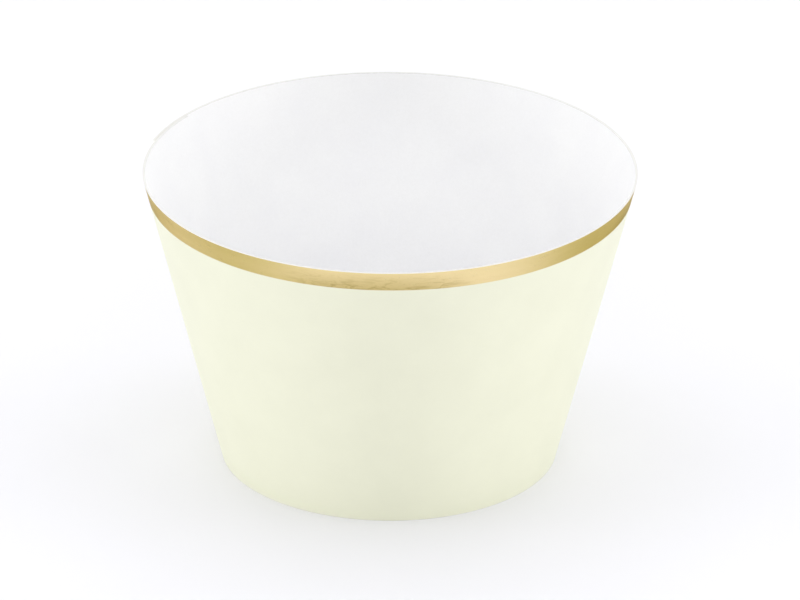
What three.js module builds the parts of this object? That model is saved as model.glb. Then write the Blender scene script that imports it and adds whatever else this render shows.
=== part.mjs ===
import * as THREE from "three";
import { toCreasedNormals } from "three/addons/utils/BufferGeometryUtils.js";

// Cupcake wrapper: one die-cut sheet of card, rolled into a tapered sleeve that is open at both ends.
// The sheet's ends lap behind the left side. A tongue on the inner end goes out through a slot in the outer
// layer, and its two ears, which are wider than the slot, lock it there.
// Lengths are in millimetres. +Z is up, the base rim stands on z = 0 and -Y is the plain front.

// The sleeve, measured over the outside
const RIM_DIAMETER = 76;
const BASE_DIAMETER = 52;
const HEIGHT = 47;

// The card
const CARD_THICKNESS = 0.35;
const FOIL_BAND_WIDTH = 3.2;
const CORNER_RADIUS = 1.5;

// The lap: its width at half the height, and how far round from the back its inner end lies to the left
const LAP_WIDTH = 11;
const LAP_GAP = 0.06;
const SEAM_DEGREES = 55;

// The tongue and its slot, measured round the wrapper at the tongue's own height
const TONGUE_HEIGHT = 9;
const NECK_WIDTH = 10;
const NECK_ROOT_RADIUS = 0.6;
const NECK_SLOPE_DEGREES = 45;
const HEAD_LENGTH = 7;
const EAR_CATCH = 0.8;
const EAR_RADIUS = 0.5;
const TIP_SHARE = 0.45;
const SLOT_SETBACK = 1;
const SLOT_END_CLEARANCE = 0.25;
const SLOT_SIDE_CLEARANCE = 0.1;
const SHOULDER_CLEARANCE = 0.3;

// Fineness of the curves, and the least turn, in radians, and height that tell two lines apart
const STEPS_PER_TURN = 240;
const STEPS_PER_CORNER = 5;
const STEPS_ACROSS_SLOT = 8;
const STEPS_ALONG_HEAD = 10;
const LEAST_TURN = 1e-4;
const LEAST_HEIGHT = 1e-6;

// Sizes that follow from those above
const FULL_TURN = 2 * Math.PI;
const lean = Math.atan((RIM_DIAMETER - BASE_DIAMETER) / 2 / HEIGHT);
const lapPitch = CARD_THICKNESS + LAP_GAP;
const foilLine = HEIGHT - FOIL_BAND_WIDTH * Math.cos(lean);
const tongueRadius = outsideRadius(TONGUE_HEIGHT);
const sheetEnd = FULL_TURN + LAP_WIDTH / outsideRadius(HEIGHT / 2);
const seamTurn = THREE.MathUtils.degToRad(SEAM_DEGREES);

// The neck climbs two layers inside the slot; a smooth step is 1.5 times as steep as its mean.
const neckRise = 2 * lapPitch;
const neckRun = (1.5 * neckRise) / Math.tan(THREE.MathUtils.degToRad(NECK_SLOPE_DEGREES));
const slotWidth = neckRun + 2 * SLOT_SIDE_CLEARANCE;
const slotNear = SLOT_SETBACK;
const slotFar = slotNear + slotWidth;
const slotStraightHalf = NECK_WIDTH / 2 + SLOT_END_CLEARANCE;
const earHalf = slotStraightHalf + slotWidth / 2 + EAR_CATCH;
const shoulder = slotFar + SHOULDER_CLEARANCE;
const climbStart = slotNear + SLOT_SIDE_CLEARANCE;

// Radius of the outside at a height, before the sheet's own winding is added.
function outsideRadius(height) {
  return THREE.MathUtils.lerp(BASE_DIAMETER, RIM_DIAMETER, height / HEIGHT) / 2;
}

// How far the middle of the card lies outside a true cone. The sheet winds out by one lap pitch a turn,
// from half a pitch inside the cone to half a pitch outside it, and the neck lifts the tongue two more.
function windingOffset(turn) {
  const pastInnerEnd = -turn * tongueRadius;
  const climb = THREE.MathUtils.smoothstep(pastInnerEnd, climbStart, climbStart + neckRun);
  return lapPitch * (turn / FULL_TURN - 0.5) + neckRise * climb;
}

// A point on the sheet. The turn is the angle from the inner end, anticlockwise from above, in radians;
// the face is 1 for the printed outside and -1 for the inside.
function pointOnSheet(turn, height, face) {
  const angle = turn + seamTurn;
  const middle = outsideRadius(height) - CARD_THICKNESS / 2 / Math.cos(lean);
  const radius = middle + windingOffset(turn) / Math.cos(lean);
  const rise = windingOffset(turn + LEAST_TURN) - windingOffset(turn - LEAST_TURN);
  const growth = rise / (2 * LEAST_TURN);
  const slope = Math.atan(growth / radius);
  const halfCard = (face * CARD_THICKNESS) / 2 / Math.cos(lean);
  const outward = radius + halfCard * Math.cos(slope);
  const sideways = -halfCard * Math.sin(slope);
  return new THREE.Vector3(
    -outward * Math.sin(angle) - sideways * Math.cos(angle),
    outward * Math.cos(angle) - sideways * Math.sin(angle),
    height,
  );
}

// How much a rounded corner takes off an edge, at a distance from the corner's end.
function cornerDrop(distance, radius) {
  const inset = Math.max(radius - distance, 0);
  return radius - Math.sqrt(radius * radius - inset * inset);
}

// Half the width of the tongue at a distance past the inner end, on the neck or on the head.
function tongueHalf(pastInnerEnd, onHead) {
  if (!onHead) return NECK_WIDTH / 2 + cornerDrop(pastInnerEnd, NECK_ROOT_RADIUS);
  const share = THREE.MathUtils.clamp((pastInnerEnd - shoulder) / HEAD_LENGTH, 0, 1);
  const rounded = THREE.MathUtils.lerp(TIP_SHARE, 1, Math.sqrt(1 - share * share));
  return earHalf * rounded - cornerDrop(pastInnerEnd - shoulder, EAR_RADIUS);
}

// Half the length of the slot, whose two ends are half rounds, at a distance past the inner end.
function slotHalf(pastInnerEnd) {
  const offCentre = pastInnerEnd - (slotNear + slotFar) / 2;
  const rest = Math.max((slotWidth * slotWidth) / 4 - offCentre * offCentre, 0);
  return slotStraightHalf + Math.sqrt(rest);
}

// The stretches of card, as [lowest, highest] heights, along the line at one turn. A step in the outline
// lies on such a line, so the middle of the strip beside the line tells which side of the step is meant.
function cardStretches(turn, stripMiddle) {
  if (stripMiddle < 0) {
    const half = tongueHalf(-turn * tongueRadius, -stripMiddle * tongueRadius > shoulder);
    return [[TONGUE_HEIGHT - half, TONGUE_HEIGHT + half]];
  }
  const toEnd = Math.min(turn, sheetEnd - turn);
  const lowest = cornerDrop((toEnd * BASE_DIAMETER) / 2, CORNER_RADIUS);
  const highest = HEIGHT - cornerDrop((toEnd * RIM_DIAMETER) / 2, CORNER_RADIUS);
  const pastSlot = (FULL_TURN - stripMiddle) * tongueRadius;
  if (pastSlot < slotNear || pastSlot > slotFar) return [[lowest, highest]];
  const half = slotHalf((FULL_TURN - turn) * tongueRadius);
  return [
    [lowest, TONGUE_HEIGHT - half],
    [TONGUE_HEIGHT + half, highest],
  ];
}

// Evenly spaced shares from 0 to 1.
function shares(steps) {
  return Array.from({ length: steps + 1 }, (_, step) => step / steps);
}

// The turns of the lines that divide the sheet into strips, from the tongue's tip to the outer end.
// Every step in the outline has its own line, and no strip is wider than one step of the full turn.
function lineTurns() {
  const bend = (share) => 1 - Math.cos((share * Math.PI) / 2);
  const cornerWidth = (2 * CORNER_RADIUS) / BASE_DIAMETER;
  const cornerTurns = shares(STEPS_PER_CORNER).map((share) => cornerWidth * bend(share));
  const onHead = shares(STEPS_ALONG_HEAD).map((share) => {
    return shoulder + HEAD_LENGTH * Math.sin((share * Math.PI) / 2);
  });
  const onEar = shares(STEPS_PER_CORNER).map((share) => shoulder + EAR_RADIUS * bend(share));
  const onRoot = shares(STEPS_PER_CORNER).map((share) => NECK_ROOT_RADIUS * bend(share));
  const atSlot = shares(STEPS_ACROSS_SLOT).map((share) => {
    return slotNear + (slotWidth * (1 - Math.cos(share * Math.PI))) / 2;
  });
  const inClimb = shares(STEPS_ACROSS_SLOT).map((share) => climbStart + neckRun * share);
  const tongueTurns = [...onHead, ...onEar, ...inClimb, ...onRoot].map((past) => -past / tongueRadius);
  const slotTurns = atSlot.map((past) => FULL_TURN - past / tongueRadius);
  const endTurns = cornerTurns.map((turn) => sheetEnd - turn);
  const marks = [...tongueTurns, ...cornerTurns, ...slotTurns, ...endTurns].sort((a, b) => a - b);
  const lines = [marks[0]];
  for (const mark of marks) {
    const from = lines[lines.length - 1];
    if (mark - from < LEAST_TURN) continue;
    const steps = Math.ceil(((mark - from) * STEPS_PER_TURN) / FULL_TURN);
    for (let step = 1; step <= steps; step += 1) {
      lines.push(from + ((mark - from) * step) / steps);
    }
  }
  return lines;
}

// One strip of the sheet between two neighbouring lines.
function stripBetween(left, right) {
  const middle = (left + right) / 2;
  const onLeft = cardStretches(left, middle);
  const onRight = cardStretches(right, middle);
  return { left, right, onLeft, onRight };
}

// Every height at which something begins or ends along the line between two strips.
function heightsOnLine(stretches) {
  const heights = [...stretches.flat(), foilLine].sort((a, b) => a - b);
  return heights.filter((height, i) => i === 0 || height - heights[i - 1] > LEAST_HEIGHT);
}

function isWithin(height, [lowest, highest]) {
  return height > lowest - LEAST_HEIGHT && height < highest + LEAST_HEIGHT;
}

// Build the sheet strip by strip: both faces, the cut edges along the rim, the base and the tongue, and a
// wall on each line where the card of one strip has no card beside it in the next.
function rolledSheet() {
  const faces = { card: [], foil: [], back: [] };
  const lines = lineTurns();
  const strips = lines.slice(1).map((right, i) => stripBetween(lines[i], right));

  const addTriangle = (list, a, b, c) => list.push(...a.toArray(), ...b.toArray(), ...c.toArray());
  const addEdge = (fromTurn, fromHeight, toTurn, toHeight) => {
    const outerFrom = pointOnSheet(fromTurn, fromHeight, 1);
    const outerTo = pointOnSheet(toTurn, toHeight, 1);
    const innerFrom = pointOnSheet(fromTurn, fromHeight, -1);
    const innerTo = pointOnSheet(toTurn, toHeight, -1);
    addTriangle(faces.back, outerFrom, innerTo, outerTo);
    addTriangle(faces.back, outerFrom, innerFrom, innerTo);
  };
  const addFaces = (turns, heights) => {
    const meanHeight = (heights[0] + heights[1] + heights[2]) / 3;
    const outer = turns.map((turn, i) => pointOnSheet(turn, heights[i], 1));
    const inner = turns.map((turn, i) => pointOnSheet(turn, heights[i], -1));
    addTriangle(meanHeight > foilLine ? faces.foil : faces.card, outer[0], outer[2], outer[1]);
    addTriangle(faces.back, inner[0], inner[1], inner[2]);
  };

  const heightsAt = lines.map((_, i) => {
    const before = i > 0 ? strips[i - 1].onRight : [];
    const after = i < strips.length ? strips[i].onLeft : [];
    return heightsOnLine([...before, ...after]);
  });

  strips.forEach((strip, i) => {
    strip.onLeft.forEach((leftStretch, k) => {
      const rightStretch = strip.onRight[k];
      const leftHeights = heightsAt[i].filter((height) => isWithin(height, leftStretch));
      const rightHeights = heightsAt[i + 1].filter((height) => isWithin(height, rightStretch));
      let onLeft = 0;
      let onRight = 0;
      while (onLeft < leftHeights.length - 1 || onRight < rightHeights.length - 1) {
        const nextLeft = leftHeights[onLeft + 1] ?? Infinity;
        const nextRight = rightHeights[onRight + 1] ?? Infinity;
        if (nextLeft <= nextRight) {
          const turns = [strip.left, strip.left, strip.right];
          addFaces(turns, [leftHeights[onLeft], nextLeft, rightHeights[onRight]]);
          onLeft += 1;
        } else {
          const turns = [strip.left, strip.right, strip.right];
          addFaces(turns, [leftHeights[onLeft], nextRight, rightHeights[onRight]]);
          onRight += 1;
        }
      }
      addEdge(strip.left, leftStretch[0], strip.right, rightStretch[0]);
      addEdge(strip.right, rightStretch[1], strip.left, leftStretch[1]);
    });
  });

  lines.forEach((turn, i) => {
    const before = i > 0 ? strips[i - 1].onRight : [];
    const after = i < strips.length ? strips[i].onLeft : [];
    for (let k = 1; k < heightsAt[i].length; k += 1) {
      const low = heightsAt[i][k - 1];
      const high = heightsAt[i][k];
      const middle = (low + high) / 2;
      const isBefore = before.some((stretch) => isWithin(middle, stretch));
      const isAfter = after.some((stretch) => isWithin(middle, stretch));
      if (isBefore && !isAfter) addEdge(turn, low, turn, high);
      if (isAfter && !isBefore) addEdge(turn, high, turn, low);
    }
  });
  return faces;
}

function wrapperMesh() {
  const { card, foil, back } = rolledSheet();
  const geometry = new THREE.BufferGeometry();
  geometry.setAttribute("position", new THREE.Float32BufferAttribute([...card, ...foil, ...back], 3));
  geometry.addGroup(0, card.length / 3, 0);
  geometry.addGroup(card.length / 3, foil.length / 3, 1);
  geometry.addGroup((card.length + foil.length) / 3, back.length / 3, 2);
  const mesh = new THREE.Mesh(toCreasedNormals(geometry, Math.PI / 6), [
    new THREE.MeshStandardMaterial({ name: "cream card", color: 0xf5f2dc, roughness: 0.75, metalness: 0 }),
    new THREE.MeshStandardMaterial({ name: "gold foil", color: 0xdcc07c, roughness: 0.3, metalness: 1 }),
    new THREE.MeshStandardMaterial({ name: "white card", color: 0xf4f4f2, roughness: 0.85, metalness: 0 }),
  ]);
  mesh.name = "wrapper";
  return mesh;
}

const part = new THREE.Group();
part.name = "cupcake_wrapper";
part.add(wrapperMesh());

export default part;
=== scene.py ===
import math

import bpy
import numpy as np
from mathutils import Matrix, Vector


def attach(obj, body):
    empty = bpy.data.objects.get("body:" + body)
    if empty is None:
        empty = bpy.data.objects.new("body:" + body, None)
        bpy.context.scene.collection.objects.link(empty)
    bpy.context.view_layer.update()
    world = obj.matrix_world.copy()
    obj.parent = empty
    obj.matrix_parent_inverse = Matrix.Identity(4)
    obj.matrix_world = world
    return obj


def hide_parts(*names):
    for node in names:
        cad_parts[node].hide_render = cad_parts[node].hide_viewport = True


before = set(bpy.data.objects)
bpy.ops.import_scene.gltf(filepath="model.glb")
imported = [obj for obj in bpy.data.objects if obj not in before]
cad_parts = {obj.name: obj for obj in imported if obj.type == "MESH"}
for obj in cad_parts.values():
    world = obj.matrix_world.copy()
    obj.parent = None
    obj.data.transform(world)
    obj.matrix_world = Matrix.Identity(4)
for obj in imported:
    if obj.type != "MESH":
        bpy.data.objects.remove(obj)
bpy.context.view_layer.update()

# Cupcake wrapper: one die-cut sheet of card, cream outside and white inside, with a band of gold foil
# stamped along its top edge. It is rolled into a tapered sleeve whose ends lap behind the left side, where
# a tongue on the inner end goes out through a slot in the outer layer and locks behind it.
# Lengths are in metres. +Z is up, the base rim stands on z = 0 and -Y is the plain front.

# The sleeve, over the outside, and its card
RIM_RADIUS = 0.038
BASE_RADIUS = 0.026
HEIGHT = 0.047
CARD = 0.00035
FOIL_BAND = 0.0032
CORNER = 0.0015
EDGE_ROUNDING = 0.00004

# The lap, the tongue and its slot
LAP_WIDTH = 0.011
LAP_GAP = 0.00006
SEAM_TURN = math.radians(55)  # from the back round to the left, to the inner end
TONGUE_HEIGHT = 0.009
NECK_WIDTH = 0.010
NECK_ROOT = 0.0006
NECK_SLOPE = math.radians(45)
HEAD_LENGTH = 0.007
EAR_CATCH = 0.0008
EAR_ROUNDING = 0.0005
TIP_SHARE = 0.45
SLOT_SETBACK = 0.001
SLOT_END_CLEARANCE = 0.00025
SLOT_SIDE_CLEARANCE = 0.0001
SHOULDER_CLEARANCE = 0.0003

# How finely the sheet is divided
COLUMNS_A_TURN = 480
ROWS_BELOW_SLOT = 6
ROWS_BESIDE_SLOT = 18
ROWS_ABOVE_SLOT = 22
ROWS_OF_FOIL = 5
STEPS_ROUND_HEAD = 24
STEPS_ROUND_EAR = 8
STEPS_UP_NECK = 24
STEPS_ROUND_ROOT = 6
STEPS_ROUND_SLOT = 20
STEPS_ROUND_CORNER = 8
CROWDED_STEP = 0.4  # share of a step within which a mark takes the place of an even column
LEAST_TURN = 1e-5
NECK_END = 1e-5  # how far before the shoulders the neck's last column stands
NEARLY = 1e-9
SLOPE_STEP = 1e-4
SPREAD_TURN = 0.2  # the turn over which the rows spread from the tongue's sides to the slot's ends
EDGE_SEGMENTS = 2
EDGE_ANGLE = math.radians(50)
SHARP_ANGLE = math.radians(40)

# Sizes that follow
TURN = 2 * math.pi
LEAN = math.atan((RIM_RADIUS - BASE_RADIUS) / HEIGHT)
LAP_PITCH = CARD + LAP_GAP
FOIL_LINE = HEIGHT - FOIL_BAND * math.cos(LEAN)
TONGUE_RADIUS = BASE_RADIUS + (RIM_RADIUS - BASE_RADIUS) * TONGUE_HEIGHT / HEIGHT
SHEET_END = TURN + LAP_WIDTH / ((RIM_RADIUS + BASE_RADIUS) / 2)
NECK_RISE = 2 * LAP_PITCH
NECK_RUN = 1.5 * NECK_RISE / math.tan(NECK_SLOPE)
SLOT_WIDTH = NECK_RUN + 2 * SLOT_SIDE_CLEARANCE
SLOT_FAR = SLOT_SETBACK + SLOT_WIDTH
SLOT_HALF = NECK_WIDTH / 2 + SLOT_END_CLEARANCE
EAR_HALF = SLOT_HALF + SLOT_WIDTH / 2 + EAR_CATCH
SHOULDER = SLOT_FAR + SHOULDER_CLEARANCE
CLIMB_START = SLOT_SETBACK + SLOT_SIDE_CLEARANCE


# The rolled sheet

def outside_radius(height):
    """Radius of the outside at a height: a straight line from the base's radius to the rim's."""
    return BASE_RADIUS + (RIM_RADIUS - BASE_RADIUS) * height / HEIGHT


def winding(turn):
    """How far the card's middle lies outside the cone: one lap pitch a turn, from half a pitch inside it,
    plus two pitches times a smooth step of the distance past the inner end, for the tongue."""
    climb = np.clip((-turn * TONGUE_RADIUS - CLIMB_START) / NECK_RUN, 0, 1)
    return LAP_PITCH * (turn / TURN - 0.5) + NECK_RISE * climb * climb * (3 - 2 * climb)


def on_sheet(turn, height, face):
    """Points of one face of the sheet: the card's middle at a turn and a height, moved by half the card's
    thickness along its normal, outwards for face 1 and inwards for face -1."""
    middle = outside_radius(height) + (winding(turn) - CARD / 2) / math.cos(LEAN)
    growth = (winding(turn + SLOPE_STEP) - winding(turn - SLOPE_STEP)) / (2 * SLOPE_STEP)
    slope = np.arctan(growth / middle)
    half = face * CARD / 2 / math.cos(LEAN)
    outward = middle + half * np.cos(slope)
    sideways = -half * np.sin(slope)
    angle = turn + SEAM_TURN
    x = -outward * np.sin(angle) - sideways * np.cos(angle)
    y = outward * np.cos(angle) - sideways * np.sin(angle)
    return np.stack([x, y, height], axis=-1)


def on_flat_sheet(turn, height):
    """The same point on the flat sheet, in metres: the sheet unrolls into a ring sector about the cone's
    apex, at the slant distance from the apex and at the turn times the sine of the lean."""
    slant = outside_radius(height) / math.sin(LEAN)
    angle = (turn - TURN / 2) * math.sin(LEAN)
    return np.stack([slant * np.sin(angle), slant * np.cos(angle)], axis=-1)


def corner_drop(distance, radius):
    """What a quarter round of this radius takes off an edge, at a distance from the corner's end."""
    inset = np.clip(radius - distance, 0, radius)
    return radius - np.sqrt(radius * radius - inset * inset)


def tongue_half(past, on_head):
    """Half the tongue's width at a distance past the inner end: the neck's, with a round at its root, or
    the head's, whose shoulders are rounded and whose tip is a quarter ellipse each side of a flat."""
    neck = NECK_WIDTH / 2 + corner_drop(past, NECK_ROOT)
    share = np.clip((past - SHOULDER) / HEAD_LENGTH, 0, 1)
    head = EAR_HALF * (TIP_SHARE + (1 - TIP_SHARE) * np.sqrt(1 - share * share))
    head = head - corner_drop(past - SHOULDER, EAR_ROUNDING)
    return np.where(on_head, head, neck)


def slot_half(past):
    """Half the slot's length at a distance past the inner end: straight sides between two half rounds."""
    off_centre = past - (SLOT_SETBACK + SLOT_FAR) / 2
    return SLOT_HALF + np.sqrt(np.clip(SLOT_WIDTH**2 / 4 - off_centre**2, 0, None))


def quarter(steps, length):
    """Distances that crowd towards 0, as equal steps round a quarter circle give them."""
    return length * (1 - np.cos(np.linspace(0, math.pi / 2, steps + 1)))


def column_turns():
    """The turns of the grid's columns: the marks at which the outline bends or steps, from the tongue's
    tip to the outer end, with even steps of the full turn between them."""
    step = TURN / COLUMNS_A_TURN
    head = SHOULDER + HEAD_LENGTH * np.sin(np.linspace(0, math.pi / 2, STEPS_ROUND_HEAD + 1))
    ear = SHOULDER + quarter(STEPS_ROUND_EAR, EAR_ROUNDING)
    climb = CLIMB_START + np.linspace(0, NECK_RUN, STEPS_UP_NECK + 1)
    root = quarter(STEPS_ROUND_ROOT, NECK_ROOT)
    across = (1 - np.cos(np.linspace(0, math.pi, STEPS_ROUND_SLOT + 1))) / 2
    across = SLOT_SETBACK + SLOT_WIDTH * across
    neck_end = [SHOULDER - NECK_END]
    corner = quarter(STEPS_ROUND_CORNER, CORNER) / BASE_RADIUS
    marks = np.concatenate([
        -np.concatenate([head, ear, climb, root, neck_end]) / TONGUE_RADIUS,
        corner, TURN - across / TONGUE_RADIUS, SHEET_END - corner,
    ])
    even = np.arange(marks.min(), SHEET_END, step)
    nearest = np.abs(even[:, None] - marks[None, :]).min(axis=1)
    turns = np.sort(np.concatenate([marks, even[nearest > CROWDED_STEP * step]]))
    return turns[np.concatenate([[True], np.diff(turns) > LEAST_TURN])]


def row_heights(turns):
    """The grid's heights, one set of them for each column: even steps between the lower edge, the two
    lines that run past the ends of the slot and along the tongue's sides, the foil's line and the rim."""
    past = np.where(turns < TURN / 2, -turns, TURN - turns) * TONGUE_RADIUS
    to_end = np.minimum(turns, SHEET_END - turns)
    low = corner_drop(np.clip(to_end, 0, None) * BASE_RADIUS, CORNER)
    high = HEIGHT - corner_drop(np.clip(to_end, 0, None) * RIM_RADIUS, CORNER)
    half = tongue_half(past, past > SHOULDER - NEARLY)
    root_half = NECK_WIDTH / 2 + NECK_ROOT
    blend = np.clip(turns / SPREAD_TURN, 0, 1)
    half = np.where(turns > 0, root_half + (SLOT_HALF - root_half) * blend, half)
    half = np.where(turns > TURN / 2, slot_half(past), half)
    marks = [low, TONGUE_HEIGHT - half, TONGUE_HEIGHT + half, np.full_like(turns, FOIL_LINE), high]
    counts = [ROWS_BELOW_SLOT, ROWS_BESIDE_SLOT, ROWS_ABOVE_SLOT, ROWS_OF_FOIL]
    runs = [a[:, None] + (b - a)[:, None] * np.linspace(0, 1, n, endpoint=False)[None, :]
            for a, b, n in zip(marks[:-1], marks[1:], counts)]
    return np.concatenate(runs + [high[:, None]], axis=1)


def card_cells(turns, rows):
    """Which cells of the grid hold card: on the tongue those between its two side lines, on the body all
    but those inside the slot."""
    middle = (turns[:-1] + turns[1:]) / 2
    row = np.arange(rows - 1)[None, :]
    beside = (row >= ROWS_BELOW_SLOT) & (row < ROWS_BELOW_SLOT + ROWS_BESIDE_SLOT)
    past = ((TURN - middle) * TONGUE_RADIUS)[:, None]
    in_slot = (past > SLOT_SETBACK) & (past < SLOT_FAR) & beside
    return np.where(middle[:, None] < 0, beside, ~in_slot)


def cell_walls(cells, index, count):
    """The cut edges: a wall from the outer to the inner face along every side of a card cell that has no
    card cell beyond it, turned so that it faces away from the card."""
    padded = np.pad(cells, 1)
    here = padded[1:-1, 1:-1]
    walls = []
    for beyond, start, end in (
        (padded[:-2, 1:-1], (0, 1), (0, 0)),
        (padded[2:, 1:-1], (1, 0), (1, 1)),
        (padded[1:-1, :-2], (0, 0), (1, 0)),
        (padded[1:-1, 2:], (1, 1), (0, 1)),
    ):
        i, j = np.nonzero(here & ~beyond)
        a = index[i + start[0], j + start[1]]
        b = index[i + end[0], j + end[1]]
        walls.append(np.stack([a, a + count, b + count, b], axis=-1))
    return np.concatenate(walls)


def rolled_sheet():
    """The whole sheet: the outer and the inner face are the same grid of turns and heights, half the
    card's thickness either side of its middle, joined by the walls of the cut edges."""
    turns = column_turns()
    heights = row_heights(turns)
    cells = card_cells(turns, heights.shape[1])
    used = np.zeros(heights.shape, bool)
    i, j = np.nonzero(cells)
    used[i, j] = used[i + 1, j] = used[i, j + 1] = used[i + 1, j + 1] = True
    count = int(used.sum())
    index = np.full(heights.shape, -1)
    index[used] = np.arange(count)
    turn = np.broadcast_to(turns[:, None], heights.shape)[used]
    height = heights[used]
    points = np.concatenate([on_sheet(turn, height, 1), on_sheet(turn, height, -1)])
    flat = np.tile(on_flat_sheet(turn, height), (2, 1))
    outer = np.stack([index[i, j], index[i + 1, j], index[i + 1, j + 1], index[i, j + 1]], axis=-1)
    inner = outer[:, ::-1] + count
    walls = cell_walls(cells, index, count)
    on_foil = j >= ROWS_BELOW_SLOT + ROWS_BESIDE_SLOT + ROWS_ABOVE_SLOT
    finishes = np.concatenate([on_foil.astype(int), np.full(len(inner) + len(walls), 2)])
    to_edge = np.tile(np.minimum(height, HEIGHT - height), 2)
    return points, np.concatenate([outer, inner, walls]), finishes, flat, to_edge


def make_piece(name, points, quads, finishes, flat, to_edge, materials):
    """A mesh object from whole arrays, with the number of each face's finish, the map of the flat sheet
    and each point's distance in height to the rim or the base, whichever is nearer."""
    mesh = bpy.data.meshes.new(name)
    mesh.vertices.add(len(points))
    mesh.vertices.foreach_set("co", points.astype(np.float32).ravel())
    mesh.loops.add(quads.size)
    mesh.loops.foreach_set("vertex_index", quads.ravel().astype(np.int32))
    mesh.polygons.add(len(quads))
    mesh.polygons.foreach_set("loop_start", np.arange(0, quads.size, 4, dtype=np.int32))
    mesh.polygons.foreach_set("material_index", finishes.astype(np.int32))
    mesh.polygons.foreach_set("use_smooth", np.ones(len(quads), bool))
    layer = mesh.uv_layers.new(name="flat_sheet")
    layer.data.foreach_set("uv", flat[quads.ravel()].astype(np.float32).ravel())
    attribute = mesh.attributes.new("edge_distance", "FLOAT", "POINT")
    attribute.data.foreach_set("value", to_edge.astype(np.float32))
    mesh.update(calc_edges=True)
    mesh.validate()
    mesh.set_sharp_from_angle(angle=SHARP_ANGLE)
    for material in materials:
        mesh.materials.append(material)
    piece = bpy.data.objects.new(name, mesh)
    bpy.context.collection.objects.link(piece)
    return piece


# The finishes. Noise on Object coordinates is in waves a millimetre, and depths are in metres.

MILLIMETRES = 1000
NOISE_RANGE = (0.3, 0.7)  # between these a noise is taken from none to full

# Card: (screen colour, its second tone, the bare card's colour, roughness, depth of the fibres). A range is
# that of the noise or height that it is taken from, and a share is the most that it blends in.
CREAM_FACE = ((239, 240, 216), (236, 237, 213), (232, 231, 220), 0.62, 0.000012)
WHITE_BACK = ((244, 244, 244), (241, 241, 242), (214, 213, 210), 0.72, 0.000016)
CLOUD_SCALE = 0.12
CLOUD_IN_BUMP = 0.5
FIBRE_SCALE = 2.6
SPECK_RANGE = (0.35, 0.7)
SPECK_SHARE = 0.12
GLOSS_SPREAD = 0.06
RAGGED_SCALE = 1.8
RAGGED_DEPTH = 0.00022
WEAR_RANGE = (-0.00006, 0.00001)
WEAR_SHARE = 0.85

# Foil: its screen colours, and its waves of painted highlight as (waves a turn, crest in degrees from the
# sheet's middle, weight), which paint the band lighter where a lamp's reflection falls and darker towards
# the sides. Heights in the band are shares of its width, from its lower line. A patch is a stretch of
# painted
# reflection at the front: it is painted lighter towards the rim, by its lift's share of a band's width, and
# darker below it with the worn and shaded colour, most where the crinkles are, so that this darkening is
# partly crinkle marks and partly painted shade.
# The third colour is the foil's darkest: partly its crinkle marks, partly painted shade low in the band.
FOIL_DARK, FOIL_LIGHT, FOIL_WORN_AND_SHADED = (208, 189, 121), (246, 225, 171), (172, 150, 86)
FOIL_HIGHLIGHT_WAVES = ((4, -41, 0.28), (8, -29, 0.18))
DRIFT_STRETCH = 1.3
DRIFT_WEIGHT = 0.4
BRIGHT_RANGE = (-0.3, 0.7)
# Painted reflection at the front: its window round the band, and its lift, lighter high and darker low.
REFLECTION_PATCH_WAVES, REFLECTION_PATCH_CREST = 4, -58
REFLECTION_PATCH_RANGE = (-0.1, 0.65)
REFLECTION_PATCH_SHARES = (0.04, 0.6)
REFLECTION_LIFT_ACROSS, REFLECTION_LIFT_AT_LINE = 0.5, -0.1
STREAKS_ROUND, STREAKS_ACROSS = 13, 4.5
MARK_RANGE = (0.48, 0.62)
MARK_WEIGHTS = (0.6, 1.3)
LOW_RANGE = (0.1, 0.9)
FOIL_ROUGHNESS = (0.26, 0.4)
FOIL_RELIEF = 0.00006
FIBRES_IN_FOIL = 0.35
FOIL_SLANT_TINT = (0.48, 0.43, 0.25, 1)


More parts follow.
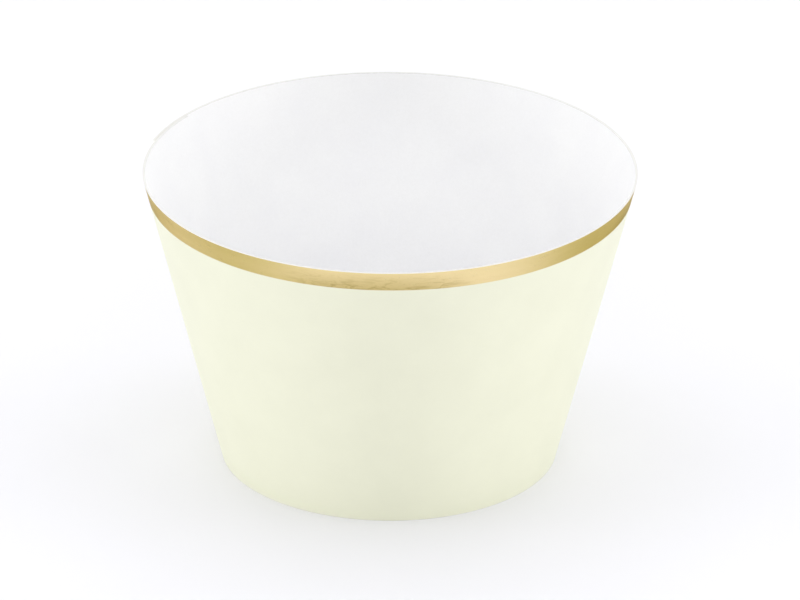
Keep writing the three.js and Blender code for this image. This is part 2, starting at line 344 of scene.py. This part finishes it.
class Finish:
    """A material under construction: adds nodes, links them and sets their sockets."""

    def __init__(self, name):
        self.material = bpy.data.materials.new(name)
        self.material.use_nodes = True
        self.tree = self.material.node_tree
        self.tree.nodes.clear()
        self.shader = self.add("ShaderNodeBsdfPrincipled")
        self.output = self.add("ShaderNodeOutputMaterial")
        self.join(self.shader.outputs["BSDF"], self.output.inputs["Surface"])

    def add(self, kind, **settings):
        node = self.tree.nodes.new(kind)
        for key, value in settings.items():
            setattr(node, key, value)
        return node

    def join(self, source, target):
        self.tree.links.new(source, target)

    def coordinates(self):
        """Object coordinates in millimetres."""
        source = self.add("ShaderNodeTexCoord")
        mapping = self.add("ShaderNodeMapping")
        mapping.inputs["Scale"].default_value = (MILLIMETRES, MILLIMETRES, MILLIMETRES)
        self.join(source.outputs["Object"], mapping.inputs["Vector"])
        return mapping.outputs["Vector"]

    def math(self, operation, *values):
        """A calculation on sockets or numbers. MULTIPLY_ADD is the first times the second plus the third."""
        node = self.add("ShaderNodeMath", operation=operation)
        for socket, value in zip(node.inputs, values):
            if isinstance(value, (int, float)):
                socket.default_value = value
            else:
                self.join(value, socket)
        return node.outputs[0]

    def round_the_band(self):
        """The turn from the middle of the sheet, in radians, and the share of the foil band's width above
        its lower line, both found from the flat sheet's angle about the cone's apex and its slant."""
        source = self.add("ShaderNodeUVMap", uv_map="flat_sheet")
        parts = self.add("ShaderNodeSeparateXYZ")
        length = self.add("ShaderNodeVectorMath", operation="LENGTH")
        self.join(source.outputs["UV"], parts.inputs[0])
        self.join(source.outputs["UV"], length.inputs[0])
        angle = self.math("ARCTAN2", parts.outputs["X"], parts.outputs["Y"])
        turn = self.math("MULTIPLY", angle, 1 / math.sin(LEAN))
        lower_line = RIM_RADIUS / math.sin(LEAN) - FOIL_BAND
        above = self.math("SUBTRACT", length.outputs["Value"], lower_line)
        return turn, self.math("MULTIPLY", above, 1 / FOIL_BAND)

    def wave(self, turn, waves, crest):
        """A cosine of this many waves a turn, with a crest at this many degrees from the sheet's middle."""
        past_crest = self.math("SUBTRACT", turn, math.radians(crest))
        return self.math("COSINE", self.math("MULTIPLY", past_crest, waves))

    def vector(self, x, y):
        node = self.add("ShaderNodeCombineXYZ")
        self.join(x, node.inputs["X"])
        self.join(y, node.inputs["Y"])
        return node.outputs[0]

    def noise(self, vector, scale, detail=4, roughness=0.55, distortion=0.0):
        node = self.add("ShaderNodeTexNoise")
        node.inputs["Scale"].default_value = scale
        node.inputs["Detail"].default_value = detail
        node.inputs["Roughness"].default_value = roughness
        node.inputs["Distortion"].default_value = distortion
        self.join(vector, node.inputs["Vector"])
        return node.outputs["Fac"]

    def spread(self, value, limits, to_limits):
        """The value's range between two limits, moved to two others and held between them."""
        node = self.add("ShaderNodeMapRange")
        for socket, number in zip(("From Min", "From Max", "To Min", "To Max"), (*limits, *to_limits)):
            node.inputs[socket].default_value = number
        self.join(value, node.inputs["Value"])
        return node.outputs["Result"]

    def blend(self, share, first, second):
        node = self.add("ShaderNodeMix", data_type="RGBA")
        self.join(share, node.inputs["Factor"])
        for socket, colour in ((node.inputs["A"], first), (node.inputs["B"], second)):
            if isinstance(colour, tuple):
                socket.default_value = (*colour, 1)
            else:
                self.join(colour, socket)
        return node.outputs["Result"]

    def bump(self, height, distance):
        node = self.add("ShaderNodeBump")
        node.inputs["Strength"].default_value = 1.0
        node.inputs["Distance"].default_value = distance
        self.join(height, node.inputs["Height"])
        self.join(node.outputs["Normal"], self.shader.inputs["Normal"])


def linear(colour):
    """A colour given as screen values from 0 to 255, as the linear numbers that a shader takes."""
    screen = np.array(colour) / 255
    values = np.where(screen <= 0.04045, screen / 12.92, ((screen + 0.055) / 1.055) ** 2.4)
    return tuple(float(value) for value in values)


def card_finish(name, colour, shade, bare, roughness, depth):
    """Uncoated card: its colour clouds a little between two close tones, as the fibres lie thicker and
    thinner, and fine fibres give the bump and break up the gloss. Along the rim and the base the face is
    worn to the colour of the bare card, in a ragged line a fraction of a millimetre deep."""
    finish = Finish(name)
    across = finish.coordinates()
    cloud = finish.noise(across, CLOUD_SCALE, detail=3)
    fibres = finish.noise(across, FIBRE_SCALE, detail=8, roughness=0.7, distortion=0.6)
    tone = finish.blend(finish.spread(cloud, NOISE_RANGE, (0, 1)), linear(colour), linear(shade))
    speck = finish.blend(finish.spread(fibres, SPECK_RANGE, (0, SPECK_SHARE)), tone, linear(bare))

    to_edge = finish.add("ShaderNodeAttribute", attribute_name="edge_distance").outputs["Fac"]
    ragged = finish.math("MULTIPLY_ADD", finish.noise(across, RAGGED_SCALE), -RAGGED_DEPTH, to_edge)
    wear_and_painted_shade = finish.spread(ragged, WEAR_RANGE, (WEAR_SHARE, 0))
    finish.join(finish.blend(wear_and_painted_shade, speck, linear(bare)), finish.shader.inputs["Base Color"])

    gloss = finish.spread(fibres, NOISE_RANGE, (roughness - GLOSS_SPREAD, roughness + GLOSS_SPREAD))
    finish.join(gloss, finish.shader.inputs["Roughness"])
    finish.bump(finish.math("MULTIPLY_ADD", cloud, CLOUD_IN_BUMP, fibres), depth)
    finish.shader.inputs["Specular IOR Level"].default_value = 0.35
    finish.shader.inputs["Sheen Weight"].default_value = 0.08
    finish.shader.inputs["Sheen Roughness"].default_value = 0.6
    return finish.material


def foil_finish(name):
    """Hot-stamped foil on card: a satin metal whose tone drifts a little at random round the band, under
    waves of painted highlight and shade that are lighter where a lamp's reflection falls. In a patch of
    painted reflection at the front it is painted lighter towards the rim and darker towards its lower line,
    and it has small flattened crinkles there, longer than they are high, that darken it too. The card's
    fibres show through it, and it darkens where it is seen at a slant."""
    finish = Finish(name)
    turn, share = finish.round_the_band()
    # A window of painted reflection at the front of the band.
    reflection_patch = finish.wave(turn, REFLECTION_PATCH_WAVES, REFLECTION_PATCH_CREST)
    reflection_patch = finish.spread(reflection_patch, REFLECTION_PATCH_RANGE, REFLECTION_PATCH_SHARES)

    drift = finish.vector(finish.math("MULTIPLY", turn, DRIFT_STRETCH), share)
    bright = finish.math("MULTIPLY", finish.noise(drift, 1.0, detail=2), DRIFT_WEIGHT)
    # Waves of painted highlight and shade, crested where a lamp's reflection falls on the band.
    for waves, crest, weight in FOIL_HIGHLIGHT_WAVES:
        bright = finish.math("MULTIPLY_ADD", finish.wave(turn, waves, crest), weight, bright)
    # Painted reflection: lighter towards the rim and darker at the lower line, inside the window.
    reflection_lift = finish.math("MULTIPLY_ADD", share, REFLECTION_LIFT_ACROSS, REFLECTION_LIFT_AT_LINE)
    bright = finish.math("MULTIPLY_ADD", reflection_lift, reflection_patch, bright)
    tone = finish.blend(finish.spread(bright, BRIGHT_RANGE, (0, 1)), linear(FOIL_DARK), linear(FOIL_LIGHT))

    streaks = finish.vector(finish.math("MULTIPLY", turn, STREAKS_ROUND),
                            finish.math("MULTIPLY", share, STREAKS_ACROSS))
    crinkle = finish.noise(streaks, 1.0, detail=6, roughness=0.62, distortion=1.6)
    marks = finish.spread(crinkle, MARK_RANGE, MARK_WEIGHTS)
    # Darker low in the band: partly crinkle marks, partly painted shade inside the reflection window.
    low = finish.spread(share, LOW_RANGE, (1, 0))
    wear_and_painted_shade = finish.math("MULTIPLY", finish.math("MULTIPLY", marks, low), reflection_patch)
    finish.join(finish.blend(wear_and_painted_shade, tone, linear(FOIL_WORN_AND_SHADED)), finish.shader.inputs["Base Color"])

    fibres = finish.noise(finish.coordinates(), FIBRE_SCALE, detail=6, roughness=0.7)
    finish.join(finish.spread(crinkle, NOISE_RANGE, FOIL_ROUGHNESS), finish.shader.inputs["Roughness"])
    finish.bump(finish.math("MULTIPLY_ADD", fibres, FIBRES_IN_FOIL, crinkle), FOIL_RELIEF)
    finish.shader.inputs["Metallic"].default_value = 1.0
    finish.shader.inputs["Specular Tint"].default_value = FOIL_SLANT_TINT
    return finish.material


# The sheet, made, finished and set on the frame

finishes = [
    card_finish("cream_card", *CREAM_FACE),
    foil_finish("gold_foil"),
    card_finish("white_card", *WHITE_BACK),
]
sheet = make_piece("rolled_card", *rolled_sheet(), finishes)
rounding = sheet.modifiers.new("cut_edges", "BEVEL")
rounding.width = EDGE_ROUNDING
rounding.segments = EDGE_SEGMENTS
rounding.limit_method = "ANGLE"
rounding.angle_limit = EDGE_ANGLE
rounding.use_clamp_overlap = True
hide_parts("wrapper")
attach(sheet, "root")


# The floor, the light and the camera

FLOOR_HALF = 3.0  # half its width
LIT_FLOOR = (0.80, 0.80, 0.844)
FLOOR_GLOW = 0.018
WORLD_LIGHT = 0.0
SEEN_WORLD = 1.0

# The lamps: name, strength, azimuth anticlockwise from +X, elevation and how wide it looks, in degrees
LAMPS = (
    ("overhead_panel", 1.95, 90, 89.9, 150),
    ("left_high_panel", 0.60, 180, 48, 70),
    ("right_high_panel", 0.60, 0, 48, 70),
    ("left_low_panel", 1.13, 180, 2, 30),
    ("right_low_panel", 1.13, 0, 2, 30),
    ("back_panel", 0.62, 90, 20, 60),
    ("back_high_panel", 0.43, 90, 70, 60),
    ("front_low_panel", 0.84, -90, 20, 70),
)

# The camera: its distances are in metres and its sensor in millimetres, and the pixels are the photograph's
SENSOR_WIDTH = 36
CLIP_START, CLIP_END = 0.01, 50
CAMERA_DISTANCE = 1.4617
CAMERA_ELEVATION = math.radians(24.86)
CAMERA_ROLL = math.radians(0.248)
FOCAL_PIXELS = 9478.7
IMAGE_WIDTH = 800
IMAGE_HEIGHT = 600
PRINCIPAL = (388.9, 309.8)


def make_floor():
    """A level matt floor, a little cool against the cream's own light. To the camera it glows by as much as
    brings its open part to white, so that the object's shadow is all that shows."""
    mesh = bpy.data.meshes.new("floor")
    side = FLOOR_HALF
    corners = [(-side, -side, 0), (side, -side, 0), (side, side, 0), (-side, side, 0)]
    mesh.from_pydata(corners, [], [(0, 1, 2, 3)])
    floor = bpy.data.objects.new("floor", mesh)
    bpy.context.collection.objects.link(floor)
    finish = Finish("floor_white")
    finish.shader.inputs["Base Color"].default_value = (*LIT_FLOOR, 1)
    finish.shader.inputs["Roughness"].default_value = 1.0
    finish.shader.inputs["Specular IOR Level"].default_value = 0.0
    glow = finish.add("ShaderNodeEmission")
    glow.inputs["Strength"].default_value = FLOOR_GLOW
    both = finish.add("ShaderNodeAddShader")
    finish.join(finish.shader.outputs["BSDF"], both.inputs[0])
    finish.join(glow.outputs["Emission"], both.inputs[1])
    ray = finish.add("ShaderNodeLightPath")
    seen = finish.add("ShaderNodeMixShader")
    finish.join(ray.outputs["Is Camera Ray"], seen.inputs["Fac"])
    finish.join(finish.shader.outputs["BSDF"], seen.inputs[1])
    finish.join(both.outputs["Shader"], seen.inputs[2])
    finish.join(seen.outputs["Shader"], finish.output.inputs["Surface"])
    mesh.materials.append(finish.material)
    return floor


def make_world():
    """A plain white room: it is pure white where it is seen, by the camera, through a clear thing or in a
    reflection, and it lights nothing by itself, because the lamps give all the light."""
    world = bpy.data.worlds.new("white_room")
    world.use_nodes = True
    tree = world.node_tree
    tree.nodes.clear()
    light = tree.nodes.new("ShaderNodeBackground")
    light.inputs["Strength"].default_value = WORLD_LIGHT
    seen = tree.nodes.new("ShaderNodeBackground")
    seen.inputs["Strength"].default_value = SEEN_WORLD
    ray = tree.nodes.new("ShaderNodeLightPath")
    seen_by = ray.outputs["Is Camera Ray"]
    for kind in ("Is Transmission Ray", "Is Glossy Ray"):
        either = tree.nodes.new("ShaderNodeMath")
        either.operation = "MAXIMUM"
        tree.links.new(seen_by, either.inputs[0])
        tree.links.new(ray.outputs[kind], either.inputs[1])
        seen_by = either.outputs[0]
    mix = tree.nodes.new("ShaderNodeMixShader")
    out = tree.nodes.new("ShaderNodeOutputWorld")
    tree.links.new(seen_by, mix.inputs["Fac"])
    tree.links.new(light.outputs["Background"], mix.inputs[1])
    tree.links.new(seen.outputs["Background"], mix.inputs[2])
    tree.links.new(mix.outputs["Shader"], out.inputs["Surface"])
    bpy.context.scene.world = world


def add_sun(name, strength, azimuth, elevation, spread):
    """A broad soft lamp far off: it shines from this azimuth, anticlockwise from +X, and elevation."""
    lamp = bpy.data.lights.new(name, "SUN")
    lamp.energy = strength
    lamp.angle = math.radians(spread)
    obj = bpy.data.objects.new(name, lamp)
    a, e = math.radians(azimuth), math.radians(elevation)
    towards = Vector((math.cos(e) * math.cos(a), math.cos(e) * math.sin(a), math.sin(e)))
    obj.rotation_euler = towards.to_track_quat("Z", "Y").to_euler()
    bpy.context.collection.objects.link(obj)


def make_camera():
    """The photograph's camera: it looks down at the sleeve's middle from the front, turned a hair about
    its own axis, and its aim is moved so that the sleeve's middle lands on the photograph's point."""
    target = Vector((0, 0, HEIGHT / 2))
    back = Vector((0, -math.cos(CAMERA_ELEVATION), math.sin(CAMERA_ELEVATION)))
    right = Vector((1, 0, 0))
    up = back.cross(right)
    c, s = math.cos(CAMERA_ROLL), math.sin(CAMERA_ROLL)
    right, up = c * right + s * up, c * up - s * right
    aim_right = (IMAGE_WIDTH / 2 - PRINCIPAL[0]) / FOCAL_PIXELS
    aim_up = (PRINCIPAL[1] - IMAGE_HEIGHT / 2) / FOCAL_PIXELS
    ahead = (-back + right * aim_right + up * aim_up).normalized()
    right = (right - ahead * right.dot(ahead)).normalized()
    up = right.cross(ahead)
    data = bpy.data.cameras.new("camera")
    data.sensor_width = SENSOR_WIDTH
    data.lens = SENSOR_WIDTH * FOCAL_PIXELS / IMAGE_WIDTH
    data.clip_start = CLIP_START
    data.clip_end = CLIP_END
    camera = bpy.data.objects.new("camera", data)
    turn = Matrix((right, up, -ahead)).transposed().to_4x4()
    camera.matrix_world = Matrix.Translation(target + back * CAMERA_DISTANCE) @ turn
    bpy.context.collection.objects.link(camera)
    bpy.context.scene.camera = camera


make_camera()
make_world()
make_floor()
for name, strength, azimuth, elevation, spread in LAMPS:
    add_sun(name, strength, azimuth, elevation, spread)
bpy.context.scene.view_settings.view_transform = "Standard"
